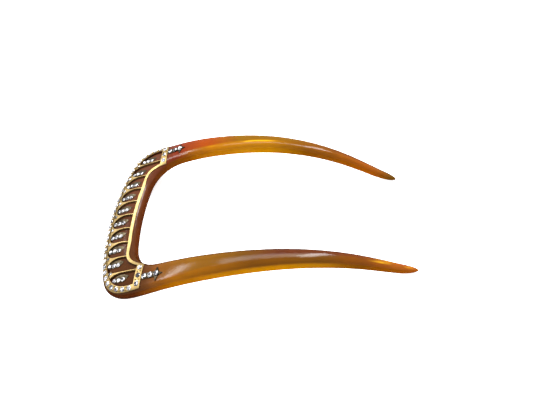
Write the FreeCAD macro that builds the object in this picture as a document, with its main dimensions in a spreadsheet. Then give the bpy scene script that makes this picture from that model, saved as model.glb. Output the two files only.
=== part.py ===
import FreeCAD, Part
import math
import os

# Decorative two-prong hair comb: one carved tortoiseshell frame with a gold gallery let into
# the front of its crest, and small cut stones set in the gold and in silver mounts.
#
# Row frame, millimetres: +X runs from the crest to the prong tips, +Y across the width, +Z up.
# The comb lies with its domed front up, on the crest's lower edge and both tips, at Z = 0.

DIMENSIONS = [
    # name, value, meaning
    ("tip_x", 59.6, "prong tips"),
    ("crest_outer_x", -59.3, "outer edge of the crest on the centre line"),
    ("crest_outer_radius", 101.3, "outer edge of the crest, in plan"),
    ("crest_inner_x", -46.4, "inner edge of the crest on the centre line"),
    ("crest_inner_radius", 92.0, "inner edge of the crest, in plan"),
    ("corner_outer_radius", 7.8, "outer corner of the shoulder, in plan"),
    ("corner_inner_radius", 12.0, "inner corner of the shoulder, in plan"),
    ("root_y", 29.15, "prong centre line at the shoulder"),
    ("middle_x", 9.6, "middle of the prong"),
    ("middle_y", 26.4, "prong centre line at its middle"),
    ("tip_y", 21.9, "prong centre line at the tip"),
    ("root_heading", -4.5, "direction of a prong's inner edge at the shoulder, degrees"),
    ("root_half_width", 4.75, "half width of a prong at the shoulder"),
    ("prong_swell", 1.0, "how much fuller than straight a prong's taper is"),
    ("tip_half_width", 1.35, "half width of a prong before the tip rounds off"),
    ("tip_round_length", 9.0, "length over which the tip rounds off"),
    ("crest_slope", 21.9, "slope of the crest, degrees"),
    ("front_arch_radius", 101.2, "side arch from the crest to the top of the prongs"),
    ("rear_arch_radius", 79.5, "side arch from the top of the prongs towards the tips"),
    ("tip_flare_radius", 66.0, "reverse curve of the tips"),
    ("tip_slope", 31.5, "slope where the tips start to flatten, degrees"),
    ("arch_top_x", 3.1, "highest point of the arch"),
    ("arch_top_z", 19.2, "height of the arch's middle surface at its highest point"),
    ("crest_rise", 3.4, "middle surface to front face, crest"),
    ("root_rise", 2.6, "middle surface to front face, shoulder and prong root"),
    ("middle_rise", 3.0, "middle surface to front face at two fifths of the prong"),
    ("tip_rise", 1.9, "middle surface to front face at the tip"),
    ("crest_belly", 3.0, "middle surface to back face, crest"),
    ("root_belly", 3.4, "middle surface to back face, shoulder"),
    ("tip_belly", 1.3, "middle surface to back face at the tip"),
    ("front_fullness", 2.6, "superellipse power of the front face, crest and tips"),
    ("root_front_fullness", 3.2, "superellipse power of the front face, shoulder"),
    ("crest_fullness", 4.0, "superellipse power of the crest's back"),
    ("prong_fullness", 2.4, "superellipse power of a prong's back"),
    ("metal_proud", 0.3, "height of the metal above the shell"),
    ("metal_thickness", 1.1, "total height of the let-in metal"),
    ("band_inset_crest", 0.15, "border band from the outer edge, in plan, crest"),
    ("band_width_crest", 1.55, "border band, in plan, crest"),
    ("band_inset_side", 1.25, "border band from the outer edge, in plan, shoulders"),
    ("band_width_side", 2.3, "border band, in plan, shoulders"),
    ("shell_line", 0.35, "shell left between the border band and the arcade"),
    ("arcade_lip", 0.3, "gold between a petal's end and the shell line"),
    ("petal_pitch", 6.45, "centre to centre of the dividers"),
    ("divider_width", 0.26, "thin part of a divider"),
    ("arch_long_side", 5.2, "length of a petal's rounded end, +Y side"),
    ("arch_short_side", 3.6, "length of a petal's rounded end, -Y side"),
    ("arch_lean", 0.4, "a petal's outermost point from its middle line, towards -Y"),
    ("rim_width", 1.0, "inner gold line"),
    ("rim_inset_crest", 1.4, "shell left inside the gold line, crest"),
    ("rim_inset_corner", 2.4, "shell left inside the gold line, inner corners"),
    ("rim_inset_bar", 0.3, "shell left inside the gold line, at the end bars"),
    ("bar_x", -40.15, "centre of an end bar"),
    ("bar_width", 2.65, "end bar along the prong"),
    ("border_stone", 1.8, "diameter of a border stone"),
    ("border_pitch", 2.55, "border stones, centre to centre"),
    ("bar_stone", 1.9, "diameter of an end bar stone"),
    ("bar_stone_pitch", 3.05, "end bar stones, centre to centre"),
    ("spandrel_stone", 1.3, "diameter of a spandrel stone"),
    ("spandrel_inset", 2.75, "spandrel stones from the outer edge"),
    ("end_spandrel_inset", 3.9, "spandrel stones beside the shoulders, from the outer edge"),
    ("well_depth", 0.55, "floor of a petal below the shell's face"),
    ("petal_stone", 1.6, "diameter of a petal stone"),
    ("petal_stone_pitch", 1.8, "petal stones, centre to centre"),
    ("petal_row_spread", 0.972, "spacing of the stone rows as a share of the petals' spacing"),
    ("petal_row_offset", 0.35, "stone rows from their petals' middle lines, towards -Y"),
    ("petal_inset", 3.35, "outermost petal stone from the outer edge"),
    ("end_petal_inset", 5.1, "outermost stone of the two end petals, from the outer edge"),
    ("trail_stone", 1.9, "diameter of a trail stone on a prong"),
    ("trail_gap", 0.15, "shell left between an end bar and the trail mount"),
    ("trail_pitch", 2.3, "trail stones, centre to centre"),
    ("trail_inset", 0.2, "trail stones from the prong's centre line, towards the comb's middle"),
    ("mount_margin", 0.14, "silver left round a petal or trail stone"),
    ("mount_proud", 0.15, "height of a petal mount above its well's floor"),
    ("leaf_swell", 2.0, "swelling side of a petal mount, from its stone row"),
    ("leaf_point", 2.0, "tip of a petal mount beyond its last stone's centre"),
    ("leaf_lean", 1.1, "tip of a petal mount beside its stone row, towards +Y"),
    ("leaf_sag", 0.25, "lower side of a petal mount's tip below its stone row"),
    ("trail_point", 2.3, "tip of a trail mount beyond its last stone's centre"),
    ("trail_barb", 2.6, "side points of a trail mount from its stone row"),
    ("pin_radius", 0.35, "fixing pins behind the gold"),
    ("pin_length", 1.5, "fixing pins below the gold"),
]
DIVIDERS = 9
PETALS = DIVIDERS + 1
STONES_PER_PETAL = 3
SIDES = (("left", -1), ("right", 1))
PLAN_REACH = 100.0

doc = FreeCAD.newDocument("hair_comb")
sheet = doc.addObject("Spreadsheet::Sheet", "dimensions")
for line, (alias, value, meaning) in enumerate(DIMENSIONS, start=1):
    sheet.set(f"A{line}", alias)
    sheet.set(f"B{line}", str(value))
    sheet.set(f"C{line}", meaning)
    sheet.setAlias(f"B{line}", alias)
doc.recompute()

nodes = []


def size(alias):
    return float(sheet.get(alias))


def vector(x, y, z=0.0):
    return FreeCAD.Vector(x, y, z)


def blend(low, high, share):
    return low + (high - low) * share


def ease(turn, start, end):
    """0 before start, 1 after end, smooth between them."""
    share = min(1.0, max(0.0, (turn - start) / (end - start)))
    return share * share * (3 - 2 * share)


def feature(label, shape):
    made = doc.addObject("Part::Feature", label)
    made.Label = label
    made.Shape = shape
    return made


def node(made, label):
    made.Label = label
    nodes.append(made)
    return made


# ---------------------------------------------------------------- side arch of the whole comb

crest_tangent = math.radians(size("crest_slope"))
tip_tangent = math.radians(size("tip_slope"))
crest_arc_x = size("arch_top_x") - size("front_arch_radius") * math.sin(crest_tangent)
crest_arc_z = size("arch_top_z") - size("front_arch_radius") * (1 - math.cos(crest_tangent))
flare_x = size("arch_top_x") + size("rear_arch_radius") * math.sin(tip_tangent)
flare_z = size("arch_top_z") - size("rear_arch_radius") * (1 - math.cos(tip_tangent))
flare_centre_x = flare_x + size("tip_flare_radius") * math.sin(tip_tangent)
flare_centre_z = flare_z + size("tip_flare_radius") * math.cos(tip_tangent)


def arch(x):
    """Height and slope angle of the comb's middle surface at x."""
    if x < crest_arc_x:
        return crest_arc_z + (x - crest_arc_x) * math.tan(crest_tangent), crest_tangent
    if x < flare_x:
        radius = size("front_arch_radius") if x < size("arch_top_x") else size("rear_arch_radius")
        lean = math.asin((size("arch_top_x") - x) / radius)
        return size("arch_top_z") - radius * (1 - math.cos(lean)), lean
    lean = math.asin((x - flare_centre_x) / size("tip_flare_radius"))
    return flare_centre_z - size("tip_flare_radius") * math.cos(lean), lean


# ---------------------------------------------------------------- plan outline, half of it

def prong_centre(x):
    """Centre line of the +Y prong: a parabola through the shoulder, the middle and the tip."""
    knots = ((root_x, size("root_y")), (size("middle_x"), size("middle_y")), (size("tip_x"), size("tip_y")))
    total = 0.0
    for i, (xi, yi) in enumerate(knots):
        weight = 1.0
        for j, (xj, _) in enumerate(knots):
            if i != j:
                weight *= (x - xj) / (xi - xj)
        total += yi * weight
    return total


def along(x):
    """0 at the shoulder, 1 at the tip."""
    return (x - root_x) / (size("tip_x") - root_x)


def prong_half_width(x):
    share = along(x)
    straight = blend(size("root_half_width"), size("tip_half_width"), share)
    return straight + size("prong_swell") * share * (1 - share)


def prong_turn(x):
    step = 0.01
    return math.atan2(prong_centre(x + step) - prong_centre(x - step), 2 * step)


# The inner outline is an arc along the crest, then the corner arc, then the prong's inner edge.
inner_end_y = size("root_y") - size("root_half_width")
inner_end_heading = math.radians(size("root_heading"))
inner_turn = 0.0
low_turn, high_turn = 0.0, 1.2
while high_turn - low_turn > 1e-9:
    inner_turn = (low_turn + high_turn) / 2
    reach = size("crest_inner_radius") * math.sin(inner_turn)
    reach -= size("corner_inner_radius") * math.sin(inner_turn)
    reach += size("corner_inner_radius") * math.cos(inner_end_heading)
    if reach < inner_end_y:
        low_turn = inner_turn
    else:
        high_turn = inner_turn
arc_gap = size("crest_inner_radius") - size("corner_inner_radius")
inner_centre_x = size("crest_inner_x") + size("crest_inner_radius")
corner_x = inner_centre_x - arc_gap * math.cos(inner_turn)
corner_y = arc_gap * math.sin(inner_turn)
root_x = corner_x - size("corner_inner_radius") * math.sin(inner_end_heading)


def outer_gap(x, y):
    """Distance inside the outer outline, with the shoulder's rounded corner."""
    from_crest = size("crest_outer_radius") - math.hypot(
        x - size("crest_outer_x") - size("crest_outer_radius"), y)
    from_side = prong_centre(x) + prong_half_width(x) - y
    radius = size("corner_outer_radius")
    if from_crest < radius and from_side < radius:
        return radius - math.hypot(radius - from_crest, radius - from_side)
    return min(from_crest, from_side)


def outer_point(start, direction):
    """Where a line from start leaves the outer outline."""
    low, high = 0.0, 40.0
    while high - low > 1e-7:
        middle = (low + high) / 2
        if outer_gap(start.x + direction.x * middle, start.y + direction.y * middle) > 0:
            low = middle
        else:
            high = middle
    return start + direction * low


def station(turn):
    """Inner and outer outline points on a line square to the inner outline.

    turn runs from 0 at the centre line, over 1 at the start of the corner, to 2 at the shoulder,
    and on to 3 at the tip.
    """
    if turn <= 1:
        angle = inner_turn * turn
        direction = vector(-math.cos(angle), math.sin(angle))
        inner = vector(inner_centre_x, 0) + direction * size("crest_inner_radius")
        return inner, outer_point(inner, direction)
    if turn <= 2:
        angle = blend(inner_turn, math.pi / 2 - inner_end_heading, turn - 1)
        direction = vector(-math.cos(angle), math.sin(angle))
        inner = vector(corner_x, corner_y) + direction * size("corner_inner_radius")
        return inner, outer_point(inner, direction)
    x = blend(root_x, size("tip_x"), turn - 2)
    angle = prong_turn(x)
    across = vector(-math.sin(angle), math.cos(angle)) * (prong_half_width(x) * tip_rounding(x))
    centre = vector(x, prong_centre(x))
    return centre - across, centre + across


def tip_rounding(x):
    left = min(1.0, (size("tip_x") - x) / size("tip_round_length"))
    return math.sqrt(max(0.0, 1 - (1 - left) ** 2.2))


# ---------------------------------------------------------------- cross sections of the shell

FULLEST_SHARE = 0.4


def section_frame(turn):
    """Centre, half chord, upward normal, then rise and fullness of the front and of the back."""
    inner, outer = station(turn)
    inner.z = arch(inner.x)[0]
    outer.z = arch(outer.x)[0]
    centre = (inner + outer) / 2
    half = (outer - inner) / 2
    lean = arch(centre.x)[1]
    normal = vector(-math.sin(lean), 0, math.cos(lean))
    if turn <= 2:
        corner = max(0.0, turn - 1)
        shoulder = ease(turn, 0.7, 1.9)
        rise = blend(size("crest_rise"), size("root_rise"), shoulder)
        front = blend(size("front_fullness"), size("root_front_fullness"), shoulder)
        belly = blend(size("crest_belly"), size("root_belly"), corner)
        back = blend(size("crest_fullness"), size("prong_fullness"), corner)
        return centre, half, normal, (rise, front), (belly, back)
    share = along(centre.x)
    rounding = tip_rounding(centre.x)
    rise = blend(size("root_rise"), size("middle_rise"), ease(share, 0, FULLEST_SHARE))
    rise = blend(rise, size("tip_rise"), ease(share, FULLEST_SHARE, 1)) * rounding
    front = blend(size("root_front_fullness"), size("front_fullness"), share)
    belly = blend(size("root_belly"), size("tip_belly"), share) * rounding
    return centre, half, normal, (rise, front), (belly, size("prong_fullness"))


def section_point(frame, angle, side):
    """Point of the rounded section; angle 0 is the outer edge, 90 the front, 270 the back."""
    centre, half, normal, front, back = frame
    cosine = math.cos(angle)
    sine = math.sin(angle)
    reach, fullness = front if sine >= 0 else back
    chord = math.copysign(abs(cosine) ** (2 / fullness), cosine)
    lift = math.copysign(abs(sine) ** (2 / fullness), sine) * reach
    point = centre + half * chord + normal * lift
    return vector(point.x, point.y * side, point.z)


CREST_TURNS = [0, 0.25, 0.5, 0.75, 0.94]
CORNER_TURNS = [1 + i / 7 for i in range(7)]
PRONG_TURNS = [2, 2.06, 2.15, 2.28, 2.42, 2.56, 2.70, 2.82]
TIP_TURNS = [2.90, 2.94, 2.965, 2.982, 2.992, 2.998]
SECTION_POLES = 20
NET_GAIN = 1.012


# ---------------------------------------------------------------- shell surface

def net_row(turn, side):
    """One ring of control points; the gain makes up for how far a spline stays inside its net."""
    frame = section_frame(turn)
    centre = vector(frame[0].x, frame[0].y * side, frame[0].z)
    step = 2 * math.pi / SECTION_POLES
    ring = [section_point(frame, step * (i + 0.5), side) for i in range(SECTION_POLES)]
    return [centre + (point - centre) * NET_GAIN for point in ring]


turns = CREST_TURNS + CORNER_TURNS + PRONG_TURNS + TIP_TURNS
net = [net_row(turn, -1) for turn in reversed(turns[1:])] + [net_row(turn, 1) for turn in turns]
SPLINE_DEGREE = 3
spans = len(net) - SPLINE_DEGREE
skin_surface = Part.BSplineSurface()
skin_surface.buildFromPolesMultsKnots(
    net,
    [SPLINE_DEGREE + 1] + [1] * (spans - 1) + [SPLINE_DEGREE + 1],
    [1] * (SECTION_POLES + 1),
    list(range(spans + 1)),
    list(range(SECTION_POLES + 1)),
    False, True, SPLINE_DEGREE, SPLINE_DEGREE)
first_knot = min(range(SECTION_POLES), key=lambda knot: (
    skin_surface.value(spans / 2, knot) - net[len(net) // 2][0]).Length)
last_knot = first_knot + SECTION_POLES // 2 - 1
front_face = skin_surface.toShape(0, spans, first_knot, last_knot)
back_face = skin_surface.toShape(0, spans, last_knot, first_knot + SECTION_POLES)


def end_cap(turn_knot):
    """Small flat that closes the surface at a prong's very tip."""
    ring = skin_surface.uIso(turn_knot)
    front_half = ring.toShape(first_knot, last_knot)
    back_half = ring.toShape(last_knot, first_knot + SECTION_POLES)
    return Part.Face(Part.Wire([front_half, back_half]))


closed = Part.Shell([front_face, back_face, end_cap(0), end_cap(spans)])
closed.sewShape()
shell_blank = feature("shell_blank", Part.Solid(closed))
if shell_blank.Shape.Volume < 0:
    shell_blank.Shape = shell_blank.Shape.reversed()

# The let-in metal is cut from one skin that follows the front face, a little above the shell.
front_surface = feature("front_surface", front_face)
front_surface.setExpression("Placement.Base.z", "dimensions.metal_proud")
front_skin = doc.addObject("Part::Extrusion", "front_skin")
front_skin.Base = front_surface
front_skin.DirMode = "Custom"
front_skin.Dir = vector(0, 0, -1)
front_skin.setExpression("LengthFwd", "dimensions.metal_thickness")
doc.recompute()


# ---------------------------------------------------------------- places on the front face

GRID_ALONG = 6 * spans
GRID_ACROSS = 18
front_grid = []
for i in range(GRID_ALONG + 1):
    for j in range(GRID_ACROSS + 1):
        along_knot = spans * i / GRID_ALONG
        across_knot = blend(first_knot, last_knot, j / GRID_ACROSS)
        front_grid.append((along_knot, across_knot, skin_surface.value(along_knot, across_knot)))


def front_place(x, y):
    """Point on the metal's top face above (x, y), and the outward normal there."""
    u, v, _ = min(front_grid, key=lambda entry: math.hypot(entry[2].x - x, entry[2].y - y))
    step = 1e-4
    for _ in range(8):
        here = skin_surface.value(u, v)
        by_u = (skin_surface.value(u + step, v) - here) / step
        by_v = (skin_surface.value(u, v + step) - here) / step
        determinant = by_u.x * by_v.y - by_v.x * by_u.y
        miss_x, miss_y = x - here.x, y - here.y
        u += (miss_x * by_v.y - by_v.x * miss_y) / determinant
        v += (by_u.x * miss_y - miss_x * by_u.y) / determinant
    normal = by_u.cross(by_v).normalize()
    if normal.z < 0:
        normal = -normal
    return skin_surface.value(u, v) + vector(0, 0, size("metal_proud")), normal


def seat_placement(x, y, lift):
    """Placement with +Z along the face's normal, lift above the metal."""
    point, normal = front_place(x, y)
    return FreeCAD.Placement(point + normal * lift, FreeCAD.Rotation(vector(0, 0, 1), normal))


# ---------------------------------------------------------------- plan outlines of the metal

STRIP_END = 2.03
STRIP_STEPS = 16
bar_near_x = size("bar_x") - size("bar_width") / 2
bar_far_x = size("bar_x") + size("bar_width") / 2


def rim_inset(turn):
    inset = blend(size("rim_inset_crest"), size("rim_inset_corner"), ease(turn, 0.92, 1.32))
    return blend(inset, size("rim_inset_bar"), ease(turn, 1.25, 1.75))


def from_band(share, extra=0.0):
    """Plan point in the border band: share 0 is its outer side, 1 its inner side."""
    def place(turn):
        inner, outer = station(turn)
        side = ease(turn, 1.0, 1.5)
        inset = blend(size("band_inset_crest"), size("band_inset_side"), side)
        width = blend(size("band_width_crest"), size("band_width_side"), side)
        return outer + (inner - outer).normalize() * (inset + width * share + extra)
    return place


def from_rim(extra):
    """Plan point beside the inner gold line: extra 0 is its inner side."""
    def place(turn):
        inner, outer = station(turn)
        return inner + (outer - inner).normalize() * (rim_inset(turn) + extra)
    return place


def plan_points(place):
    points = []
    for i in range(-STRIP_STEPS, STRIP_STEPS + 1):
        point = place(STRIP_END * abs(i) / STRIP_STEPS)
        points.append(vector(point.x, math.copysign(point.y, i) if i else 0.0))
    return points


def plan_curve(place):
    curve = Part.BSplineCurve()
    curve.interpolate(Points=plan_points(place))
    return curve.toShape()


def strip_face(outer_place, inner_place):
    """Plan face between two curves that both run round the crest."""
    outer_edge = plan_curve(outer_place)
    inner_edge = plan_curve(inner_place)
    ends = [Part.makeLine(outer_edge.valueAt(knot), inner_edge.valueAt(inner_knot))
            for knot, inner_knot in zip(outer_edge.ParameterRange, inner_edge.ParameterRange)]
    return Part.Face(Part.Wire([outer_edge, ends[1], inner_edge, ends[0]]))


def plan_box(x_low, x_high, y_low, y_high):
    corner = vector(x_low, y_low)
    return Part.makePlane(x_high - x_low, y_high - y_low, corner)


def outline_x(y):
    """x of the outer outline at a distance y from the centre line."""
    return outer_point(vector(-45, abs(y)), vector(-1, 0)).x


def quarter_arch(tip, length, height):
    """Quarter ellipse from an arch's outermost point to the start of its straight side."""
    centre = tip + vector(length, 0)
    ellipse = Part.Ellipse(tip, centre + vector(0, height), centre)
    return Part.Edge(Part.ArcOfEllipse(ellipse, 0, math.pi / 2))


def petal_face(y):
    """Opening of one petal: straight sides and a leaning arch at its outer end."""
    half = (size("petal_pitch") - size("divider_width")) / 2
    clear_of_band = size("band_inset_crest") + size("band_width_crest") + size("shell_line")
    tip = vector(outline_x(y) + clear_of_band + size("arcade_lip"), y - size("arch_lean"))
    high = vector(tip.x + size("arch_long_side"), y + half)
    low = vector(tip.x + size("arch_short_side"), y - half)
    inner_x = size("bar_x")
    corners = [high, vector(inner_x, high.y), vector(inner_x, low.y), low]
    sides = [Part.makeLine(p, q) for p, q in zip(corners, corners[1:])]
    high_arch = quarter_arch(tip, size("arch_long_side"), high.y - tip.y)
    low_arch = quarter_arch(tip, size("arch_short_side"), low.y - tip.y)
    return Part.Face(Part.Wire([high_arch] + sides + [low_arch]))


def divider_y(index):
    return (index - (DIVIDERS - 1) / 2) * size("petal_pitch")


def petal_y(index):
    return (index - (PETALS - 1) / 2) * size("petal_pitch")


west, east = -PLAN_REACH, PLAN_REACH
panel = strip_face(from_band(1, size("shell_line")), from_rim(size("rim_width")))
panel = panel.common(plan_box(west, bar_near_x, west, east))
wells = [petal_face(petal_y(index)).common(panel).Faces[0] for index in range(PETALS)]
arcade = panel.cut(wells)
band_strip = strip_face(from_band(0), from_band(1))
bar_strip = strip_face(from_band(0), from_rim(size("rim_width")))
rim_strip = strip_face(from_rim(size("rim_width")), from_rim(0))

metal_plans = {
    "border_band": band_strip.common(plan_box(west, bar_near_x, west, east)),
    "inner_rim_line": rim_strip.common(plan_box(west, bar_far_x, west, east)),
}
for name, side in SIDES:
    y_range = (west, 0) if side < 0 else (0, east)
    metal_plans[f"end_bar_{name}"] = bar_strip.common(plan_box(bar_near_x, bar_far_x, *y_range))
for index in range(DIVIDERS):
    y = divider_y(index)
    half = size("petal_pitch") / 2
    metal_plans[f"divider_{index + 1}"] = arcade.common(plan_box(west, bar_near_x, y - half, y + half))


# ---------------------------------------------------------------- silver mounts, in plan

COLLAR_WAIST = 0.92
BARB_SHARE = 0.95
LEAF_SOFTENING = 0.15


def petal_spots(index):
    end_petal = index in (0, PETALS - 1)
    first_x = outline_x(petal_y(index)) + size("end_petal_inset" if end_petal else "petal_inset")
    y = petal_y(index) * size("petal_row_spread") - size("petal_row_offset")
    return [(first_x + size("petal_stone_pitch") * step, y) for step in range(STONES_PER_PETAL)]


def trail_spots(side):
    y = prong_centre(bar_far_x) - size("trail_inset")
    first_x = bar_far_x + size("trail_gap") + size("trail_stone") / 2 + size("mount_margin")
    return [(first_x + size("trail_pitch") * step, side * y) for step in range(STONES_PER_PETAL)]


def curve_through(points):
    curve = Part.BSplineCurve()
    curve.interpolate(Points=[vector(x, y) for x, y in points])
    return curve.toShape()


def polygon_face(points):
    return Part.Face(Part.makePolygon([vector(x, y) for x, y in points + points[:1]]))


def collars(spots, radius):
    """Discs of silver round the stones of a row."""
    return [Part.Face(Part.Wire(Part.makeCircle(radius, vector(x, y)))) for x, y in spots]


def leaf_face(spots):
    """A petal's mount: straight beside its stones, swelling on the +Y side to a leaning point."""
    radius = size("petal_stone") / 2 + size("mount_margin")
    (x_first, y), (x_mid, _), (x_last, _) = spots
    tip = (x_last + size("leaf_point"), y + size("leaf_lean"))
    heel = (x_first, y - radius * COLLAR_WAIST)
    toe = (x_last, y - radius * COLLAR_WAIST)
    swell = y + size("leaf_swell")
    shoulder = (x_last + LEAF_SOFTENING, swell - LEAF_SOFTENING)
    back = curve_through([tip, shoulder, (x_mid, swell), (x_first, y + radius), heel])
    under = curve_through([toe, (x_last + radius, y - size("leaf_sag")), tip])
    base = Part.makeLine(vector(*heel), vector(*toe))
    return Part.Face(Part.Wire([base, under, back])).fuse(collars(spots, radius)).removeSplitter()


def trefoil_face(spots):
    """A prong's trail mount: a strip with a pointed end, and barbs beside the last stone."""
    radius = size("trail_stone") / 2 + size("mount_margin")
    (x_first, y), (x_last, _) = spots[0], spots[-1]
    waist, barb, reach = radius * COLLAR_WAIST, radius * BARB_SHARE, size("trail_barb")
    strip = polygon_face([(x_first, y - waist), (x_last, y - waist), (x_last + size("trail_point"), y),
                          (x_last, y + waist), (x_first, y + waist)])
    barbs = polygon_face([(x_last - barb, y), (x_last, y - reach), (x_last + barb, y), (x_last, y + reach)])
    return strip.fuse([barbs] + collars(spots, radius)).removeSplitter()


for index in range(PETALS):
    metal_plans[f"petal_mount_{index + 1}"] = leaf_face(petal_spots(index)).common(wells[index])
for name, side in SIDES:
    metal_plans[f"trail_mount_{name}"] = trefoil_face(trail_spots(side))


# ---------------------------------------------------------------- stones

STONE_TABLE, STONE_CROWN, STONE_GIRDLE, STONE_PAVILION, STONE_CULET = 0.29, 0.16, 0.05, 0.24, 0.06
GIRDLE_LIFT = 0.05


def stone_master(alias):
    """A cut stone with its girdle's lower edge at the origin, sized by one cell of the sheet."""
    crown = doc.addObject("Part::Cone", f"{alias}_crown")
    crown.setExpression("Radius1", f"dimensions.{alias} / 2")
    crown.setExpression("Radius2", f"dimensions.{alias} * {STONE_TABLE}")
    crown.setExpression("Height", f"dimensions.{alias} * {STONE_CROWN}")
    crown.setExpression("Placement.Base.z", f"dimensions.{alias} * {STONE_GIRDLE}")
    girdle = doc.addObject("Part::Cylinder", f"{alias}_girdle")
    girdle.setExpression("Radius", f"dimensions.{alias} / 2")
    girdle.setExpression("Height", f"dimensions.{alias} * {STONE_GIRDLE}")
    pavilion = doc.addObject("Part::Cone", f"{alias}_pavilion")
    pavilion.setExpression("Radius1", f"dimensions.{alias} * {STONE_CULET}")
    pavilion.setExpression("Radius2", f"dimensions.{alias} / 2")
    pavilion.setExpression("Height", f"dimensions.{alias} * {STONE_PAVILION}")
    pavilion.setExpression("Placement.Base.z", f"-dimensions.{alias} * {STONE_PAVILION}")
    master = doc.addObject("Part::MultiFuse", f"{alias}_cut")
    master.Shapes = [crown, girdle, pavilion]
    return master


def placed_copies(master, placements):
    copies = []
    for placement in placements:
        copy = master.Shape.copy()
        copy.Placement = placement
        copies.append(copy)
    return Part.makeCompound(copies)


def path_spots(place, count, start_share, end_share):
    """Evenly spaced plan points along a strip's curve, between the two end bars."""
    edge = plan_curve(place)
    inside = edge.common(plan_box(west, bar_near_x, west, east)).Edges[0]
    length = inside.Length
    spots = []
    for step in range(count):
        share = blend(start_share, end_share, step / (count - 1))
        point = inside.valueAt(inside.getParameterByLength(length * share))
        spots.append((point.x, point.y))
    return spots


band_middle = from_band(0.5)
band_path = plan_curve(band_middle).common(plan_box(west, bar_near_x, west, east)).Edges[0]
border_count = int(band_path.Length / size("border_pitch"))
end_share = 0.5 / border_count
border_spots = path_spots(band_middle, border_count, end_share, 1 - end_share)
spandrel_spots = []
for index in range(DIVIDERS):
    inset = size("end_spandrel_inset" if index in (0, DIVIDERS - 1) else "spandrel_inset")
    spandrel_spots.append((outline_x(divider_y(index)) + inset, divider_y(index)))


def bar_spots(side):
    outer = size("root_y") + size("root_half_width") - size("band_inset_side") - size("band_width_side") / 2
    pitch = size("bar_stone_pitch")
    return [(size("bar_x"), side * (outer - pitch * step)) for step in range(STONES_PER_PETAL)]


stone_groups = {"border_stones": ("border_stone", border_spots)}
stone_groups["spandrel_stones"] = ("spandrel_stone", spandrel_spots)
for name, side in SIDES:
    stone_groups[f"end_bar_stones_{name}"] = ("bar_stone", bar_spots(side))
    stone_groups[f"trail_stones_{name}"] = ("trail_stone", trail_spots(side))
for index in range(PETALS):
    stone_groups[f"petal_stones_{index + 1}"] = ("petal_stone", petal_spots(index))

MOUNT_DROP = size("metal_proud") + size("well_depth") - size("mount_proud")
masters = {alias: stone_master(alias) for alias in sorted({alias for alias, _ in stone_groups.values()})}
doc.recompute()
for label, (alias, spots) in stone_groups.items():
    placements = [seat_placement(x, y, GIRDLE_LIFT) for x, y in spots]
    drop = MOUNT_DROP if label.startswith("petal") else 0.0
    for placement in placements:
        placement.Base = placement.Base - vector(0, 0, drop)
    node(feature(label, placed_copies(masters[alias], placements)), label)


# ---------------------------------------------------------------- metal pieces

def stones_of(label):
    """The stone group that is set in a metal piece, if it has one."""
    if label == "border_band":
        return "border_stones"
    if label.startswith("divider"):
        return "spandrel_stones"
    if label.startswith("end_bar"):
        return label.replace("end_bar", "end_bar_stones")
    if "mount" in label:
        return label.replace("mount", "stones")
    return None


def lowered_skin(label, drop):
    """The front skin moved straight down."""
    lowered = doc.addObject("Part::Compound", label)
    lowered.Links = [front_skin]
    lowered.Placement = FreeCAD.Placement(vector(0, 0, -drop), FreeCAD.Rotation())
    return lowered


mount_skin = lowered_skin("mount_skin", MOUNT_DROP)
well_skin = lowered_skin("well_skin", size("well_depth") + size("metal_proud") - size("metal_thickness"))
doc.recompute()
metal_blanks = []
for label, plan in metal_plans.items():
    plan_sheet = feature(f"{label}_plan", plan.Faces[0])
    prism = doc.addObject("Part::Extrusion", f"{label}_prism")
    prism.Base = plan_sheet
    prism.DirMode = "Custom"
    prism.Dir = vector(0, 0, 1)
    prism.LengthFwd = PLAN_REACH
    metal = doc.addObject("Part::Common", f"{label}_blank")
    metal.Base = mount_skin if label.startswith("petal_mount") else front_skin
    metal.Tool = prism
    doc.recompute()
    metal_blanks.append(metal)
    stones = stones_of(label)
    if stones:
        drilled = doc.addObject("Part::Cut", f"{label}_set")
        drilled.Base = metal
        drilled.Tool = doc.getObject(stones)
        node(drilled, label)
    else:
        node(metal, label)
doc.recompute()


# ---------------------------------------------------------------- fixing pins

PIN_OVERLAP = 0.4
pin = doc.addObject("Part::Cylinder", "pin_blank")
pin.setExpression("Radius", "dimensions.pin_radius")
pin.setExpression("Height", f"dimensions.pin_length + {PIN_OVERLAP}")
doc.recompute()


def pin_placement(x, y):
    """A pin pointing into the shell, its head a little inside the metal's underside."""
    point, normal = front_place(x, y)
    under = size("metal_thickness") * normal.z - PIN_OVERLAP
    return FreeCAD.Placement(point - normal * under, FreeCAD.Rotation(vector(0, 0, 1), -normal))


def between(spots, indices):
    return [((spots[i][0] + spots[i + 1][0]) / 2, (spots[i][1] + spots[i + 1][1]) / 2) for i in indices]


rim_middle = from_rim(size("rim_width") / 2)
pin_groups = {
    "band_pins": ("border_band", between(border_spots, range(1, border_count - 1, 5))),
    "rim_pins": ("inner_rim_line", path_spots(rim_middle, 6, 0.08, 0.92)),
    "divider_pins": ("divider", spandrel_spots),
    "end_bar_pins": ("end_bar", between(bar_spots(-1), (0, 1)) + between(bar_spots(1), (0, 1))),
}
pin_blanks = []
for label, (owner, spots) in pin_groups.items():
    whole = placed_copies(pin, [pin_placement(x, y) for x, y in spots])
    pin_blanks.append(whole)
    owners = [metal.Shape for metal in metal_blanks if metal.Name.startswith(owner)]
    seated = []
    for solid in whole.Solids:
        touching = [metal for metal in owners if metal.BoundBox.intersect(solid.BoundBox)]
        seated.append(solid.cut(touching))
    node(feature(label, Part.makeCompound(seated)), label)

# ---------------------------------------------------------------- the shell, with its seats

seats = [metal.Shape for metal in metal_blanks]
for well in wells:
    seats.append(well_skin.Shape.common(well.extrude(vector(0, 0, PLAN_REACH))))
for whole in pin_blanks:
    seats.extend(whole.Solids)
shell = feature("shell_frame", shell_blank.Shape.cut(seats))
node(shell, "shell_frame")

# ---------------------------------------------------------------- checks and export

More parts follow.
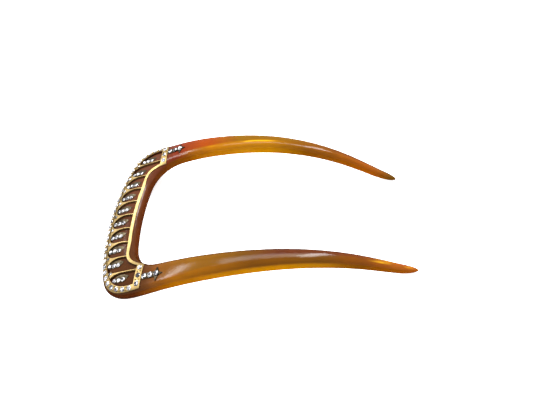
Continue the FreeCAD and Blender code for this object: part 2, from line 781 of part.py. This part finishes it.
doc.recompute()
for made in doc.Objects:
    if {"Invalid", "Error"} & set(made.State):
        raise RuntimeError(f"{made.Label} did not compute: {made.State}")
for made in nodes:
    if made.Shape.isNull() or not made.Shape.isValid() or not made.Shape.Solids:
        raise RuntimeError(f"{made.Label} has no valid solid")

os.makedirs("parts", exist_ok=True)
for made in nodes:
    made.Shape.exportStep(f"parts/{made.Label}.step")
    solids = len(made.Shape.Solids)
    print(f"{made.Label}: {solids} solid(s), {made.Shape.Volume:.2f} mm3")
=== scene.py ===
"""Looks of the jewelled hair comb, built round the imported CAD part.

Everything is in metres, in the CAD frame: +X from the crest to the prong tips, +Z up.
"""

import math
import random

import bmesh
import bpy
from mathutils import Matrix, Vector


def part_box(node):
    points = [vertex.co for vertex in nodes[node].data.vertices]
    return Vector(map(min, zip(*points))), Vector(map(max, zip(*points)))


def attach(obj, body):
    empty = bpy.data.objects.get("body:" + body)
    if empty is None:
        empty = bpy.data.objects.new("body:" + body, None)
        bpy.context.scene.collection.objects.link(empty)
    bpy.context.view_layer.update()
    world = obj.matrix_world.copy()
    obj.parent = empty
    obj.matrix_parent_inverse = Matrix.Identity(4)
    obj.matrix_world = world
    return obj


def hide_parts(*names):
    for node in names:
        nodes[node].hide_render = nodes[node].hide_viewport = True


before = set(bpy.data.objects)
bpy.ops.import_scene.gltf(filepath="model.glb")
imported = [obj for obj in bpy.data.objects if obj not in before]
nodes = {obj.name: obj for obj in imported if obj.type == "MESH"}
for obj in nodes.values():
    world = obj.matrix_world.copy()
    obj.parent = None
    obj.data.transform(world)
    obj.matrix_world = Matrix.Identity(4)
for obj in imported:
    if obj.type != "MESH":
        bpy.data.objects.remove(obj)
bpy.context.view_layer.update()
scene = bpy.context.scene
MM = 0.001

# The near prong is on -Y and the far prong on +Y. Their centre lines are parabolas through these
# points, which repeat the CAD part's sizes: x, and the distance from y = 0.
PRONG_ROOT = (-0.0325, 0.02915)
PRONG_MIDDLE = (0.0096, 0.0264)
PRONG_TIP = (0.0596, 0.0219)

# The silver turns darker over the first part of each trail, between these two places along x.
TRAIL_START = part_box("trail_mount_left")[0][0]
TRAIL_FADE_FROM = TRAIL_START + 1.17 * MM
TRAIL_FADE_TO = TRAIL_START + 3.67 * MM


# ---------------------------------------------------------------- node helpers

class Tree:
    """A material's node tree, with short calls to add and join nodes."""

    def __init__(self, name):
        self.material = bpy.data.materials.new(name)
        self.material.use_nodes = True
        self.tree = self.material.node_tree
        self.shader = self.tree.nodes["Principled BSDF"]

    def add(self, kind, inputs=None, **settings):
        made = self.tree.nodes.new("ShaderNode" + kind)
        for key, value in settings.items():
            setattr(made, key, value)
        for key, value in (inputs or {}).items():
            self.put(made.inputs[key], value)
        return made

    def put(self, socket, value):
        if isinstance(value, bpy.types.NodeSocket):
            self.tree.links.new(value, socket)
        else:
            socket.default_value = value

    def shade(self, **values):
        for key, value in values.items():
            self.put(self.shader.inputs[key.replace("_", " ")], value)

    def math(self, operation, a, b=0.0):
        return self.add("Math", {0: a, 1: b}, operation=operation).outputs[0]

    def fused(self, a, b, c):
        """a * b + c"""
        return self.add("Math", {0: a, 1: b, 2: c}, operation="MULTIPLY_ADD").outputs[0]

    def between(self, value, low, high, start=0.0, end=1.0):
        made = self.add("MapRange", {"Value": value, "From Min": low, "From Max": high,
                                     "To Min": start, "To Max": end})
        return made.outputs["Result"]

    def step(self, value, low, high):
        """0 below low, 1 above high, smooth between."""
        made = self.add("MapRange", {"Value": value, "From Min": low, "From Max": high},
                        interpolation_type="SMOOTHSTEP")
        return made.outputs["Result"]

    def mix(self, share, a, b, blend="MIX"):
        made = self.add("Mix", data_type="RGBA", blend_type=blend)
        self.put(made.inputs["Factor"], share)
        self.put(made.inputs["A"], a)
        self.put(made.inputs["B"], b)
        return made.outputs["Result"]

    def noise(self, place, scale, detail=3.0, roughness=0.5):
        made = self.add("TexNoise", {"Vector": place, "Scale": scale, "Detail": detail,
                                     "Roughness": roughness})
        return made.outputs["Fac"]

    def stretched(self, place, scale, turn=(0, 0, 0)):
        made = self.add("Mapping", {"Vector": place, "Scale": scale, "Rotation": turn})
        return made.outputs["Vector"]

    def ramp(self, value, stops):
        made = self.add("ValToRGB", {"Fac": value})
        band = made.color_ramp
        band.elements[0].position, band.elements[0].color = stops[0]
        band.elements[1].position, band.elements[1].color = stops[-1]
        for position, colour in stops[1:-1]:
            band.elements.new(position).color = colour
        return made.outputs["Color"]

    def bump(self, height, distance, normal=None):
        made = self.add("Bump", {"Height": height, "Distance": distance, "Strength": 1.0})
        if normal:
            self.put(made.inputs["Normal"], normal)
        return made.outputs["Normal"]


def linear(red, green, blue):
    """Linear colour of a display colour given in 0 to 255."""
    def channel(value):
        value /= 255
        return value / 12.92 if value <= 0.04045 else ((value + 0.055) / 1.055) ** 2.4
    return (channel(red), channel(green), channel(blue), 1.0)


def grey(value):
    return (value, value, value, 1.0)


def coloured(stops):
    """Ramp stops from rows of a place and a display colour."""
    return [(place, linear(*colour)) for place, *colour in stops]


# ---------------------------------------------------------------- tortoiseshell

# Colours along the comb, as rows of a place and a display colour. 0 is the crest and 1 the tips.
NEAR_FACE = ((0.0, 74, 41, 22), (0.16, 78, 41, 18), (0.24, 108, 62, 18), (0.34, 122, 78, 8),
             (0.46, 100, 62, 8), (0.60, 82, 38, 16), (0.80, 94, 42, 8), (0.86, 118, 58, 4),
             (0.90, 178, 118, 6), (0.94, 150, 66, 4), (1.0, 176, 72, 6))
FAR_FACE = ((0.0, 86, 50, 32), (0.14, 92, 50, 30), (0.22, 114, 36, 6), (0.34, 144, 60, 0),
            (0.46, 120, 80, 2), (0.62, 120, 78, 4), (0.76, 104, 54, 2), (0.90, 108, 52, 2),
            (1.0, 64, 52, 4))
# The amber side: the shell's own amber with painted glow of light through it.
AMBER_SIDE = ((0.0, 76, 38, 22), (0.15, 80, 38, 18), (0.22, 104, 52, 6), (0.34, 134, 80, 0),
              (0.5, 98, 56, 0), (0.70, 96, 56, 0), (0.85, 112, 56, 0), (1.0, 152, 78, 2))
# Painted glow of light through the shell, at the lower edges of the prongs.
GOLDEN_GLOW_EDGE = ((0.0, 74, 34, 16), (0.15, 80, 36, 10), (0.26, 138, 76, 0), (0.36, 172, 106, 0),
               (0.50, 182, 118, 0), (0.68, 176, 116, 0), (0.80, 124, 70, 0), (1.0, 146, 74, 2))
# Painted shade for slopes that face +Y.
INNER_SLOPE_SHADE = linear(56, 22, 4)
NEAR_CORNER = linear(70, 36, 4)
# A painted glint.
GLINT = linear(236, 180, 24)
OLIVE_TIP = linear(84, 60, 6)
# Painted shade for wells and grooves.
DEEP_SHADE = linear(36, 14, 6)

# The most that each of these is mixed in.
INNER_SLOPE_SHARE = 0.9
NEAR_CORNER_SHARE = 0.8
OLIVE_TIP_SHARE = 0.8
FAR_GLOW_SHARE = 0.55
GLINT_SHARE = 0.6

# The colours run over x from -HALF_LENGTH to HALF_LENGTH, and drift by up to half of LENGTH_DRIFT.
HALF_LENGTH = 60 * MM
LENGTH_DRIFT = 22 * MM

# The near prong's colours give way to the far prong's over y from -SIDE_FADE to SIDE_FADE.
SIDE_FADE = 12 * MM

# Where the amber side begins: places from AMBER_FROM to AMBER_TO along x, with the distance in mm from
# the prong's centre line, towards -Y. No distance is past AMBER_REACH.
AMBER_FROM = -40 * MM
AMBER_TO = 60 * MM
AMBER_START = ((0.0, 3.0), (0.20, 1.6), (0.40, 0.3), (0.60, -0.3), (1.0, -0.5))
AMBER_REACH = 5.0

# The amber line wavers by up to half of this.
AMBER_DRIFT = 2.2 * MM

# The glint's four places across the amber line, and along x on the near and the far prong, in mm. Each
# set says where it starts to rise, is full, starts to fall and is gone.
GLINT_LINE = (0.1, 0.6, 0.7, 1.3)
NEAR_GLINT = (38, 46, 54, 58)
FAR_GLINT = (-22, -12, 2, 12)


def centre_offset(t, x, y):
    """How far a point lies from its own prong's centre line, towards -Y."""
    (root_x, root_y), (middle_x, middle_y), (tip_x, tip_y) = PRONG_ROOT, PRONG_MIDDLE, PRONG_TIP
    slope = (middle_y - root_y) / (middle_x - root_x)
    end_slope = (tip_y - middle_y) / (tip_x - middle_x)
    curve = (end_slope - slope) / (tip_x - root_x)
    from_root = t.math("SUBTRACT", x, root_x)
    bend = t.math("MULTIPLY", from_root, t.math("SUBTRACT", x, middle_x))
    centre = t.fused(bend, curve, t.fused(from_root, slope, root_y))
    return t.math("SUBTRACT", t.math("MULTIPLY", t.math("SIGN", y), centre), y)


def past_amber_start(t, x, y, drift):
    """How far a point lies beyond the wavering line where the amber side begins."""
    edge = t.ramp(t.between(x, AMBER_FROM, AMBER_TO),
                  [(place, grey((mm + AMBER_REACH) / (2 * AMBER_REACH))) for place, mm in AMBER_START])
    begins = t.fused(edge, 2 * AMBER_REACH * MM, -AMBER_REACH * MM)
    return t.fused(drift, AMBER_DRIFT, t.math("SUBTRACT", centre_offset(t, x, y), begins))


def face_colour(t, y, along, far, sideways):
    """The front face: brown on the near prong, red and then olive on the far one, with painted shade on
    the slopes that face +Y.
    """
    near_face = t.ramp(along, coloured(NEAR_FACE))
    # Painted shade: slopes that face +Y turn darker.
    inner_slope_shade = t.math("MULTIPLY", t.step(sideways, 0.25, 0.80), INNER_SLOPE_SHARE)
    near_face = t.mix(inner_slope_shade, near_face, INNER_SLOPE_SHADE)
    corner = t.math("MULTIPLY", t.step(y, -14 * MM, -22 * MM), t.step(along, 0.26, 0.16))
    near_face = t.mix(t.math("MULTIPLY", corner, NEAR_CORNER_SHARE), near_face, NEAR_CORNER)
    return t.mix(far, near_face, t.ramp(along, coloured(FAR_FACE)))


def flank_colour_and_glow(t, along, far, up):
    """The amber side: the shell's own amber with painted glow of light through it, turning to a golden
    painted glow where the surface looks sideways or down.
    """
    later = t.math("MULTIPLY", far, t.step(along, 0.30, 0.50))
    golden = t.ramp(t.fused(later, 0.12, along), coloured(GOLDEN_GLOW_EDGE))
    side = t.ramp(along, coloured(AMBER_SIDE))
    side = t.mix(t.math("MULTIPLY", far, FAR_GLOW_SHARE), side, golden)
    return t.mix(t.step(up, 0.80, 0.40), side, golden)


def stretch(t, value, places):
    """1 between the middle two of four places in mm, fading to 0 at the outer two."""
    rise, full, fall, gone = [place * MM for place in places]
    return t.math("MULTIPLY", t.step(value, rise, full), t.step(value, gone, fall))


def glint_share(t, place, x, past, far):
    """Painted glints: broken yellow highlight lines just under the front face, near the near tip and at
    the far prong's top.
    """
    broken = t.step(t.noise(t.stretched(place, (1, 0.4, 0.4)), scale=75.0, detail=2.0), 0.44, 0.60)
    line = t.math("MULTIPLY", stretch(t, past, GLINT_LINE), broken)
    near_part, far_part = stretch(t, x, NEAR_GLINT), stretch(t, x, FAR_GLINT)
    part = t.fused(far, t.math("SUBTRACT", far_part, near_part), near_part)
    return t.math("MULTIPLY", t.math("MULTIPLY", line, part), GLINT_SHARE)


def shell_colour(t, place, drift):
    """The shell's colour before clouds and streaks, with painted glow, painted shade and painted glints in
    it. Drift makes every boundary waver.
    """
    split = t.add("SeparateXYZ", {0: place})
    x, y = split.outputs["X"], split.outputs["Y"]
    facing = t.add("SeparateXYZ", {0: t.add("NewGeometry").outputs["Normal"]})
    up, sideways = facing.outputs["Z"], facing.outputs["Y"]
    along = t.between(t.fused(drift, LENGTH_DRIFT, x), -HALF_LENGTH, HALF_LENGTH)
    far = t.step(y, -SIDE_FADE, SIDE_FADE)
    past = past_amber_start(t, x, y, drift)

    # The amber begins softly over about a millimetre, and it fades out towards the crest.
    amber = t.math("MULTIPLY", t.step(past, -0.4 * MM, 0.7 * MM), t.step(x, -36 * MM, -27 * MM))
    # Painted glow: surfaces that look sideways or down take the amber side's colours wherever they lie.
    amber = t.math("MAXIMUM", amber, t.step(up, 0.75, 0.30))
    colour = t.mix(amber, face_colour(t, y, along, far, sideways), flank_colour_and_glow(t, along, far, up))
    colour = t.mix(glint_share(t, place, x, past, far), colour, GLINT)
    olive = t.math("MULTIPLY", far, t.step(along, 0.90, 0.97))
    return t.mix(t.math("MULTIPLY", olive, OLIVE_TIP_SHARE), colour, OLIVE_TIP)


def mottled(t, place, colour):
    """Clouds and lengthwise streaks, and painted shade deep in the wells and grooves."""
    cloud = t.fused(t.noise(place, scale=90.0, detail=3.0, roughness=0.55), 0.36, 0.62)
    streaks = t.noise(t.stretched(place, (1, 5, 5)), scale=190.0, detail=4.0, roughness=0.6)
    streak = t.fused(streaks, 0.34, 0.83)
    shade = t.math("MULTIPLY", cloud, streak)
    shade = t.add("CombineColor", {"Red": shade, "Green": shade, "Blue": shade}).outputs["Color"]
    colour = t.mix(1.0, colour, shade, "MULTIPLY")
    # Painted shade: darker where nearby surfaces hem the point in.
    open_air = t.add("AmbientOcclusion", {"Distance": 1.4 * MM}).outputs["AO"]
    return t.mix(t.step(open_air, 0.35, 0.95), DEEP_SHADE, colour)


def tortoiseshell():
    """Brown crest, blond prongs: a brown face, an amber side towards -Y and a golden lower edge. The amber
    side is the shell's own amber with painted glow of light through it, and the golden edge is painted
    glow.
    """
    t = Tree("blond_tortoiseshell")
    place = t.add("TexCoord").outputs["Object"]
    drift = t.math("SUBTRACT", t.noise(place, scale=45.0, detail=2.0), 0.5)
    colour = mottled(t, place, shell_colour(t, place, drift))
    roughness = t.between(t.noise(place, scale=130.0, detail=2.0), 0.3, 0.7, start=0.09, end=0.18)
    scratches = t.noise(t.stretched(place, (1, 9, 9), (0, 0, 0.3)), scale=420.0, detail=3.0, roughness=0.6)
    bumped = t.bump(scratches, 0.012 * MM)
    bumped = t.bump(t.noise(place, scale=160.0, detail=2.0), 0.035 * MM, bumped)
    t.shade(Base_Color=colour, Roughness=roughness, Normal=bumped)
    t.shade(Subsurface_Weight=0.06, Subsurface_Radius=(1.0, 0.45, 0.12), Subsurface_Scale=1.6 * MM)
    t.shade(IOR=1.5, Specular_IOR_Level=0.10)
    return t.material


# ---------------------------------------------------------------- metal and stone

def satin_gold():
    """Warm gold, finely wiped and slightly uneven."""
    t = Tree("satin_gold")
    place = t.add("TexCoord").outputs["Object"]
    tone = t.noise(place, scale=420.0, detail=3.0, roughness=0.6)
    base = t.ramp(tone, coloured(((0.3, 158, 134, 86), (0.55, 177, 152, 100), (0.75, 195, 170, 122))))
    wipes = t.noise(t.stretched(place, (1, 5, 5), (0, 0, 0.6)), scale=900.0, detail=3.0, roughness=0.7)
    bumped = t.bump(wipes, 0.010 * MM)
    bumped = t.bump(t.noise(place, scale=520.0, detail=2.0), 0.03 * MM, bumped)
    roughness = t.between(wipes, 0.3, 0.7, start=0.38, end=0.56)
    t.shade(Base_Color=base, Roughness=roughness, Normal=bumped, Metallic=1.0)
    return t.material


def dark_silver():
    """Blackened silver, darkest on the trails' outer part."""
    t = Tree("oxidised_silver")
    place = t.add("TexCoord").outputs["Object"]
    trail = t.step(t.add("SeparateXYZ", {0: place}).outputs["X"], TRAIL_FADE_FROM, TRAIL_FADE_TO)
    tone = t.fused(trail, -0.14, t.noise(place, scale=700.0, detail=3.0, roughness=0.6))
    base = t.ramp(tone, coloured(((0.3, 42, 36, 26), (0.6, 90, 80, 62), (0.8, 152, 138, 114))))
    bumped = t.bump(t.noise(place, scale=1500.0, detail=2.0), 0.02 * MM)
    roughness = t.between(tone, 0.0, 1.0, start=0.55, end=0.25)
    t.shade(Base_Color=base, Roughness=roughness, Normal=bumped, Metallic=1.0)
    return t.material


def cut_stone():
    """Clear stone with painted reflections: each facet carries its own painted brightness, from nearly
    black to white.
    """
    t = Tree("cut_stone")
    facet = t.add("Attribute", attribute_name="facet_sparkle").outputs["Fac"]
    place = t.add("TexCoord").outputs["Object"]
    flaw_and_sparkle = t.noise(place, scale=1800.0, detail=2.0)
    # Painted reflections: the facet's brightness, made a little uneven.
    tone = t.math("ADD", facet, t.math("MULTIPLY", t.math("SUBTRACT", flaw_and_sparkle, 0.5), 0.16))
    base = t.ramp(tone, coloured(((0.0, 14, 14, 20), (0.37, 62, 64, 74), (0.56, 146, 146, 154),
                                  (0.74, 226, 226, 228), (1.0, 252, 252, 252))))
    roughness = t.between(flaw_and_sparkle, 0.0, 1.0, start=0.03, end=0.12)
    t.shade(Base_Color=base, Roughness=roughness, IOR=1.7)
    return t.material


SHELL = tortoiseshell()
GOLD = satin_gold()
SILVER = dark_silver()
STONE = cut_stone()
SLOT_MATERIAL = {"tortoiseshell": SHELL, "gold": GOLD, "silver": SILVER, "cut_stone": STONE}


def dress_cad_nodes():
    """Gives each CAD node the material that its slot name stands for."""
    for item in nodes.values():
        slot = item.data.materials[0].name.split(".")[0]
        item.data.materials.clear()
        item.data.materials.append(SLOT_MATERIAL[slot])


dress_cad_nodes()


# ---------------------------------------------------------------- stones

WELD_DISTANCE = 0.002 * MM

# A table's normal has at least this z, and normals whose dot product is past SAME_DIRECTION are one face.
LEAST_TABLE_Z = 0.3
SAME_DIRECTION = 0.99995

# Points farther out than this share of the radius lie on the girdle.
GIRDLE_SHARE = 0.97

# The seed of the random draws, and the most that a stone tilts, in degrees.
STONE_SEED = 19
STONE_TILT = 4

# Rings of an old brilliant cut: points, share of the radius, height over the girdle as a share of the
# radius, and turn in steps of the ring.
CUT_RINGS = {
    "table": (8, 0.56, 0.42, 0.0), "mid": (8, 0.80, 0.27, 0.5), "top_girdle": (16, 1.0, 0.06, 0.0),
    "low_girdle": (16, 1.0, -0.02, 0.0), "low_mid": (8, 0.62, -0.32, 0.5), "culet": (8, 0.12, -0.72, 0.0)}

# Stones whose painted facet reflections are much darker than their neighbours', by their place in the row
# from the -Y end.
DARK_STONES = {"spandrel_stones": (1, 4), "end_bar_stones_left": (1,)}
DARK_STONE_BRIGHTNESS = 0.5


def islands(item):
    """The separate solids in a CAD node, each as its points and its faces' normals and areas.

    Points and faces come in a fixed order, so that sums over them are the same in every run.
    """
    mesh = bmesh.new()
    mesh.from_mesh(item.data)
    bmesh.ops.remove_doubles(mesh, verts=mesh.verts, dist=WELD_DISTANCE)
    left = set(mesh.verts)
    found = []
    while left:
        start = min(left, key=lambda vert: vert.index)
        group, stack = {start}, [start]
        while stack:
            for edge in stack.pop().link_edges:
                for vert in edge.verts:
                    if vert not in group:
                        group.add(vert)
                        stack.append(vert)
        left -= group
        verts = sorted(group, key=lambda vert: vert.index)
        faces = dict.fromkeys(face for vert in verts for face in vert.link_faces)
        points = [vert.co.copy() for vert in verts]
        found.append((points, [(face.normal.copy(), face.calc_area()) for face in faces]))
    mesh.free()
    return found


def stone_seat(points, faces):
    """Centre of a stone's girdle, its axis and its radius.

    The axis is the normal of the table, which is the largest flat face that looks up.
    """
    best, best_area = None, 0.0
    for normal, area in faces:
        if area > 0 and normal.z > LEAST_TABLE_Z:
            total = sum(other_area for other, other_area in faces if other.dot(normal) > SAME_DIRECTION)
            if total > best_area:
                best, best_area = normal, total
    axis = best.normalized()
    middle = sum(points, Vector()) / len(points)
    radii = [((point - middle) - axis * (point - middle).dot(axis)).length for point in points]
    radius = max(radii)
    rim = [point for point, distance in zip(points, radii) if distance > GIRDLE_SHARE * radius]
    centre = sum(rim, Vector()) / len(rim)
    return centre, axis, radius


def stone_seats(node):
    """The seat of every stone in a CAD node."""
    return [stone_seat(*island) for island in islands(nodes[node])]


def cut_ring(radius, count, share, height, turn):
    """Points of one ring of a cut stone, about the stone's own axis."""
    angles = [2 * math.pi * (k + turn) / count for k in range(count)]
    return [Vector((radius * share * math.cos(angle), radius * share * math.sin(angle), radius * height))
            for angle in angles]


def cut_faces(verts):
    """Corners of every facet: table, culet, crown, pavilion and girdle."""
    table, mid, top = verts["table"], verts["mid"], verts["top_girdle"]
    low, low_mid, culet = verts["low_girdle"], verts["low_mid"], verts["culet"]
    faces = [table, list(reversed(culet))]
    for k in range(8):
        n = (k + 1) % 8
        g = 2 * k
        between, after = (g + 1) % 16, (g + 2) % 16
        faces.append([table[k], mid[k], table[n]])
        faces.append([table[n], mid[k], top[after], mid[n]])
        faces.append([mid[k], top[g], top[between]])
        faces.append([mid[k], top[between], top[after]])
        faces.append([low_mid[k], low[between], low[g]])
        faces.append([low_mid[k], low[after], low[between]])
        faces.append([culet[k], low_mid[k], culet[n]])
        faces.append([culet[n], low_mid[k], low[after], low_mid[n]])
    for k in range(16):
        n = (k + 1) % 16
        faces.append([top[k], low[k], low[n], top[n]])
    return faces


def add_stone(mesh, tones, seat, brightness, rng):
    """One stone in its seat, turned and tilted by chance, with a random painted reflection brightness on
    every facet.
    """
    centre, axis, radius = seat
    side = axis.orthogonal().normalized()
    turn = Matrix.Rotation(rng.uniform(0, math.tau), 4, axis)
    tilt = Matrix.Rotation(math.radians(rng.uniform(-STONE_TILT, STONE_TILT)), 4, side)
    upright = axis.to_track_quat("Z", "Y").to_matrix().to_4x4()
    base = Matrix.Translation(centre) @ tilt @ turn @ upright
    verts = {key: [mesh.verts.new(base @ point) for point in cut_ring(radius, *ring)]
             for key, ring in CUT_RINGS.items()}
    for corners in cut_faces(verts):
        face = mesh.faces.new(corners)
        face.smooth = False
        face[tones] = rng.random() * brightness


def finish_mesh(name, mesh, material, replaced=()):
    """Turns a mesh in the making into a piece on the comb's one body."""
    bmesh.ops.recalc_face_normals(mesh, faces=mesh.faces)
    data = bpy.data.meshes.new(name)
    mesh.to_mesh(data)
    mesh.free()
    data.materials.append(material)
    item = bpy.data.objects.new(name, data)
    scene.collection.objects.link(item)
    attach(item, "root")
    if replaced:
        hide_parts(*replaced)


def build_stones():
    """Cut stones over the CAD ones, one piece for each CAD node. Returns the seats by node."""
    rng = random.Random(STONE_SEED)
    seats = {}
    for node in sorted(n for n in nodes if "stones" in n):
        seats[node] = stone_seats(node)
        mesh = bmesh.new()
        tones = mesh.faces.layers.float.new("facet_sparkle")
        places = sorted(seat[0].y for seat in seats[node])
        dark = [places[place] for place in DARK_STONES.get(node, ())]
        for seat in seats[node]:
            brightness = DARK_STONE_BRIGHTNESS if seat[0].y in dark else 1.0
            add_stone(mesh, tones, seat, brightness, rng)
        finish_mesh("cut_" + node, mesh, STONE, [node])
    return seats


seats = build_stones()


# ---------------------------------------------------------------- settings

# Beads in rows: radius, distance from the row's middle line, and height over the stones' girdles.
BORDER_BEADS = (0.24 * MM, 0.62 * MM, 0.14 * MM)
BAR_BEADS = (0.24 * MM, 0.68 * MM, 0.14 * MM)
MOUNT_BEADS = (0.17 * MM, 0.66 * MM, 0.12 * MM)

# A bead's outline from its foot up: share of the radius, and height as a share of the radius.
BEAD_PROFILE = ((1.0, -0.5), (1.0, 0.1), (0.86, 0.52), (0.5, 0.86))
BEAD_SIDES = 10


def add_bead(mesh, centre, axis, radius):
    """A small raised bead of metal, domed over a short stem."""
    base = Matrix.Translation(centre) @ axis.to_track_quat("Z", "Y").to_matrix().to_4x4()
    rings = []
    for share, height in BEAD_PROFILE:
        angles = [math.tau * k / BEAD_SIDES for k in range(BEAD_SIDES)]
        ring = [Vector((share * math.cos(angle), share * math.sin(angle), height)) for angle in angles]
        rings.append([mesh.verts.new(base @ (point * radius)) for point in ring])
    tip = mesh.verts.new(base @ Vector((0, 0, radius)))
    for lower, upper in zip(rings, rings[1:]):
        for k in range(BEAD_SIDES):
            n = (k + 1) % BEAD_SIDES
            mesh.faces.new([lower[k], lower[n], upper[n], upper[k]]).smooth = True
    for k in range(BEAD_SIDES):
        mesh.faces.new([rings[-1][k], rings[-1][(k + 1) % BEAD_SIDES], tip]).smooth = True
    mesh.faces.new(list(reversed(rings[0]))).smooth = True


def ring_beads(mesh, seat, count, start, radius, out, lift):
    """Beads evenly spaced round one stone."""
    centre, axis, stone_radius = seat
    side = axis.orthogonal().normalized()
    across = axis.cross(side)
    for k in range(count):
        angle = start + math.tau * k / count
        outward = side * math.cos(angle) + across * math.sin(angle)
        add_bead(mesh, centre + outward * (stone_radius + out) + axis * lift, axis, radius)


def row_beads(mesh, row, radius, spread, lift):
    """Pairs of beads between neighbours in a row of stones."""
    for (here, axis_here, _), (there, axis_there, _) in zip(row, row[1:]):
        axis = (axis_here + axis_there).normalized()
        across = axis.cross(there - here).normalized()
        middle = (here + there) / 2 + axis * lift
        for side in (-1, 1):
            add_bead(mesh, middle + across * side * spread, axis, radius)


# How much a low y counts against a high x when a row's first stone is chosen.
Y_WEIGHT = 3


def in_order(row):
    """Stones sorted along their row, starting from the one with the lowest y and the highest x."""
    left = list(row)
    path = [max(left, key=lambda seat: seat[0].x - Y_WEIGHT * seat[0].y)]
    left.remove(path[0])
    while left:
        following = min(left, key=lambda seat: (seat[0] - path[-1][0]).length)
        path.append(following)
        left.remove(following)
    return path


def build_beads():
    """Gold beads that hold the border, end bar and spandrel stones, and silver ones on the mounts."""
    mesh = bmesh.new()
    row_beads(mesh, in_order(seats["border_stones"]), *BORDER_BEADS)
    for side in ("left", "right"):
        row_beads(mesh, in_order(seats[f"end_bar_stones_{side}"]), *BAR_BEADS)
    for seat in seats["spandrel_stones"]:
        ring_beads(mesh, seat, count=3, start=0.4, radius=0.17 * MM, out=0.08 * MM, lift=0.10 * MM)
    finish_mesh("setting_beads", mesh, GOLD)
    mesh = bmesh.new()
    for node, row in sorted(seats.items()):
        if node.startswith(("petal", "trail")):
            row_beads(mesh, in_order(row), *MOUNT_BEADS)
    finish_mesh("mount_beads", mesh, SILVER)


build_beads()


# ---------------------------------------------------------------- stage, light and camera

FLOOR_HALF = 15.0

# The camera's lens and sensor width in mm, its nearest visible distance, its place and its directions.
CAMERA_LENS = 27.02
SENSOR_WIDTH = 36.0
CAMERA_CLIP = 0.01
CAMERA_PLACE = (0.00964, -0.09065, 0.13611)
CAMERA_RIGHT = (0.99913, 0.00679, -0.04112)
CAMERA_BACK = (0.03687, -0.60384, 0.79625)

# The world's brightness over the height z of a direction.
WORLD_RAMP = (("From Min", -0.10), ("From Max", -0.03), ("To Min", 0.02), ("To Max", 1.0))

# Softboxes: name, place, the point it faces, width and height, and power in watts.
SOFTBOXES = (
    ("back_strip", (-0.02, 0.24, 0.50), (0.0, 0.0, 0.01), (0.46, 0.11), 2.4),
    ("left_box", (-0.45, 0.16, 0.40), (-0.02, 0.0, 0.01), (0.28, 0.06), 2.0),
    ("right_box", (0.25, 0.24, 0.39), (0.02, 0.0, 0.01), (0.07, 0.22), 2.6))


def floor_material():
    """Pale and matt. Its own glow keeps the comb's shadow faint."""
    t = Tree("pale_floor")
    place = t.add("TexCoord").outputs["Object"]
    tone = t.noise(place, scale=6.0, detail=2.0)
    base = t.ramp(tone, [(0.3, (0.80, 0.80, 0.80, 1)), (0.7, (0.82, 0.82, 0.82, 1))])
    t.shade(Base_Color=base, Roughness=0.9, Specular_IOR_Level=0.0, Emission_Color=(1, 1, 1, 1),
            Emission_Strength=0.75)
    return t.material


def build_floor():
    """A wide floor at z = 0 that reflections do not see."""
    mesh = bmesh.new()
    corners = [mesh.verts.new((side_x * FLOOR_HALF, side_y * FLOOR_HALF, 0))
               for side_x, side_y in ((-1, -1), (1, -1), (1, 1), (-1, 1))]
    mesh.faces.new(corners)
    data = bpy.data.meshes.new("floor")
    mesh.to_mesh(data)
    mesh.free()
    data.materials.append(floor_material())
    item = bpy.data.objects.new("floor", data)
    scene.collection.objects.link(item)
    item.visible_glossy = False


def area_light(name, place, aim, size, power):
    """A rectangular light that faces the aim."""
    data = bpy.data.lights.new(name, "AREA")
    data.shape = "RECTANGLE"
    data.size, data.size_y = size
    data.energy = power
    item = bpy.data.objects.new(name, data)
    item.location = place
    item.rotation_euler = (Vector(aim) - Vector(place)).to_track_quat("-Z", "Y").to_euler()
    scene.collection.objects.link(item)


def build_world():
    """White down to just below the horizon, then nearly black.

    Only reflections reach the black part, because they pass through the floor.
    """
    world = bpy.data.worlds.new("studio")
    scene.world = world
    world.use_nodes = True
    tree = world.node_tree
    split = tree.nodes.new("ShaderNodeSeparateXYZ")
    tree.links.new(tree.nodes.new("ShaderNodeTexCoord").outputs["Generated"], split.inputs[0])
    sky = tree.nodes.new("ShaderNodeMapRange")
    tree.links.new(split.outputs["Z"], sky.inputs["Value"])
    for key, value in WORLD_RAMP:
        sky.inputs[key].default_value = value
    background = tree.nodes["Background"]
    tree.links.new(sky.outputs["Result"], background.inputs["Strength"])
    background.inputs["Color"].default_value = (1, 1, 1, 1)


def build_camera():
    """A camera like the photo's, turned by its right and backward directions."""
    data = bpy.data.cameras.new("camera")
    data.sensor_width = SENSOR_WIDTH
    data.lens = CAMERA_LENS
    data.clip_start = CAMERA_CLIP
    item = bpy.data.objects.new("camera", data)
    right = Vector(CAMERA_RIGHT).normalized()
    back = Vector(CAMERA_BACK)
    back = (back - right * back.dot(right)).normalized()
    up = back.cross(right)
    turn = Matrix((right, up, back)).transposed()
    item.matrix_world = Matrix.Translation(CAMERA_PLACE) @ turn.to_4x4()
    scene.collection.objects.link(item)
    scene.camera = item


build_floor()
build_world()
for softbox in SOFTBOXES:
    area_light(*softbox)
build_camera()
scene.view_settings.view_transform = "Standard"
